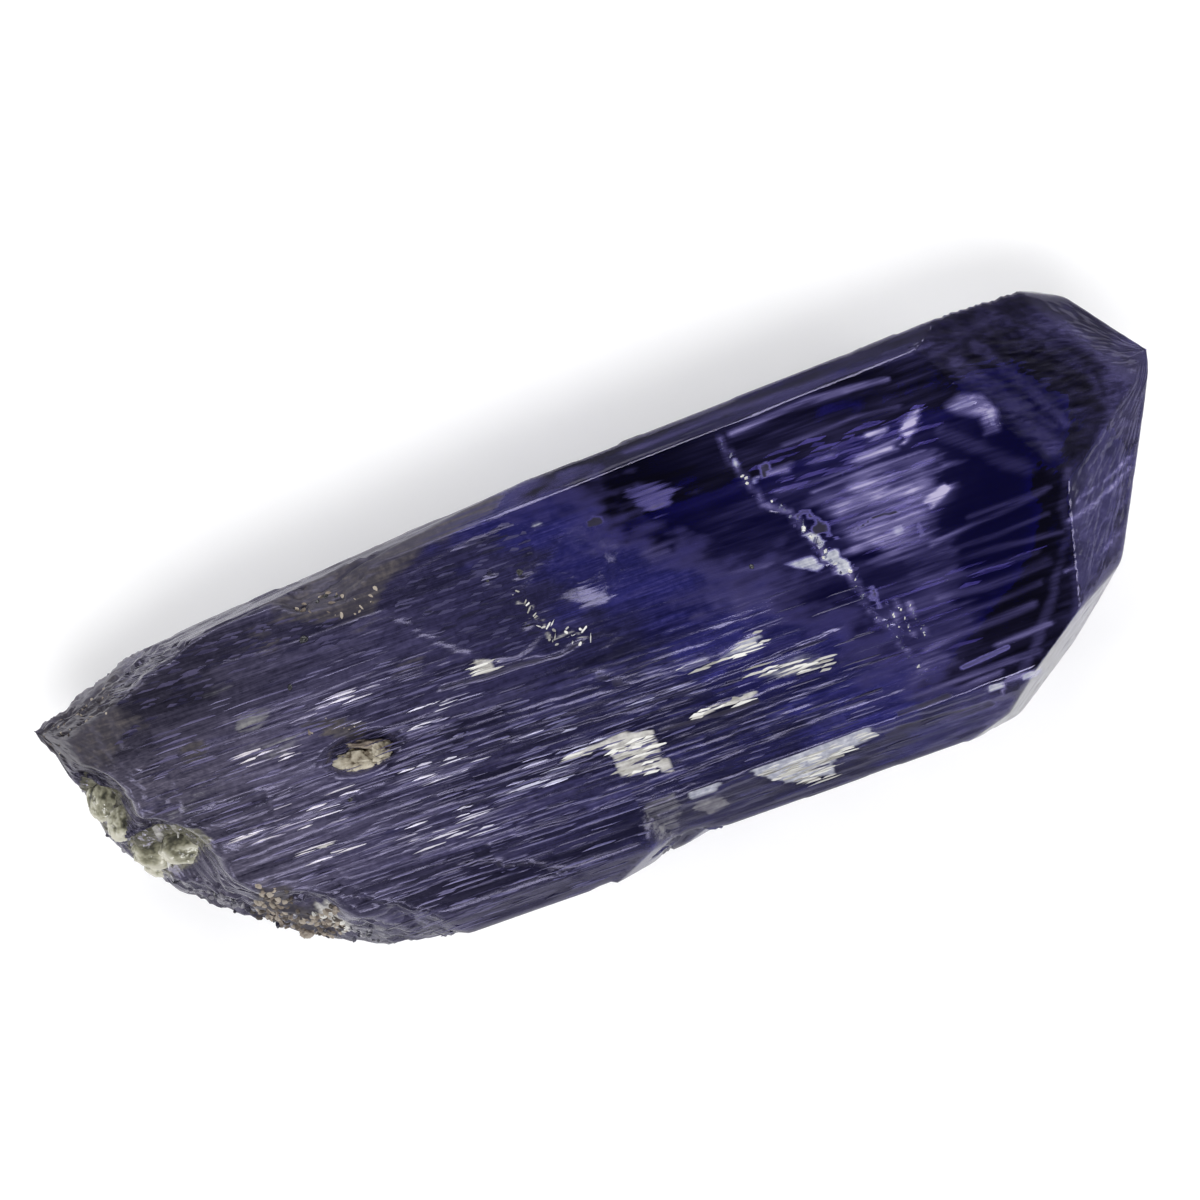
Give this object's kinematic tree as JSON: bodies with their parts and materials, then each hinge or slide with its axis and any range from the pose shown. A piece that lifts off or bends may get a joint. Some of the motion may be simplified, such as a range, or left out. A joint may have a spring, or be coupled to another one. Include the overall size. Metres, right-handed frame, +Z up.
{
  "type": "rough tanzanite crystal",
  "caption": "Rough striated prismatic gem crystal, blue-violet, pointed at one end and broken at the other, lying on a flat face.",
  "frame": {"origin": "on the surface it rests on, under the middle of its box", "axes": "+X runs along the crystal from the broken root to the pointed end, +Y runs across it to its far side, +Z is up"},
  "size_m": [0.0386, 0.014, 0.0097],
  "materials": {
    "tanzanite": "blue-violet see-through gem with fine lengthwise growth lines and a thin grey skin, cloudy towards the broken root"
  },
  "bodies": {
    "root": {"crystal": "tanzanite"}
  },
  "joints": []
}
